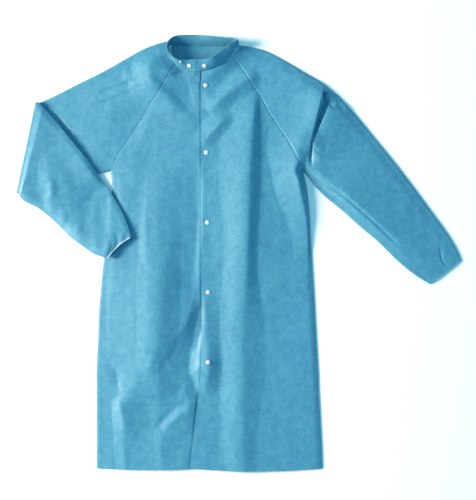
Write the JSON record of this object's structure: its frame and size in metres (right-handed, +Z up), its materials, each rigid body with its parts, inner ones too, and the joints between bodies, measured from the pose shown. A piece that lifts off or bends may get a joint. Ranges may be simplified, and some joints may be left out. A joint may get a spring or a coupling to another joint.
{
  "type": "disposable protective frock, laid flat",
  "caption": "Nonwoven protective frock with raglan sleeves, band collar and snap front, laid flat with one sleeve folded back over the front.",
  "frame": {"origin": "on the supporting surface, under the middle of the outline of the whole laid-out frock; it lies on the underside of the back panel", "axes": "+X across the front towards the sleeve that lies out straight, +Y from the hem to the collar, +Z up from the surface"},
  "size_m": [1.1074, 1.0866, 0.0416],
  "materials": {
    "nonwoven_blue": "light blue spunbond nonwoven, soft satin sheen, fine mottled fibre texture",
    "elastic_white": "white knitted elastic, matte",
    "snap_white": "white moulded plastic, satin gloss"
  },
  "bodies": {
    "root": {"back_panel": "nonwoven_blue", "front_under": "nonwoven_blue", "front_over": "nonwoven_blue", "sleeve_folded": "nonwoven_blue", "sleeve_straight": "nonwoven_blue", "collar": "nonwoven_blue", "elastic_folded": "elastic_white", "elastic_straight": "elastic_white", "snap_front_1": "snap_white", "snap_front_2": "snap_white", "snap_front_3": "snap_white", "snap_front_4": "snap_white", "snap_front_5": "snap_white", "snap_collar_1": "snap_white", "snap_collar_2": "snap_white", "stud_collar": "snap_white"}
  },
  "joints": []
}
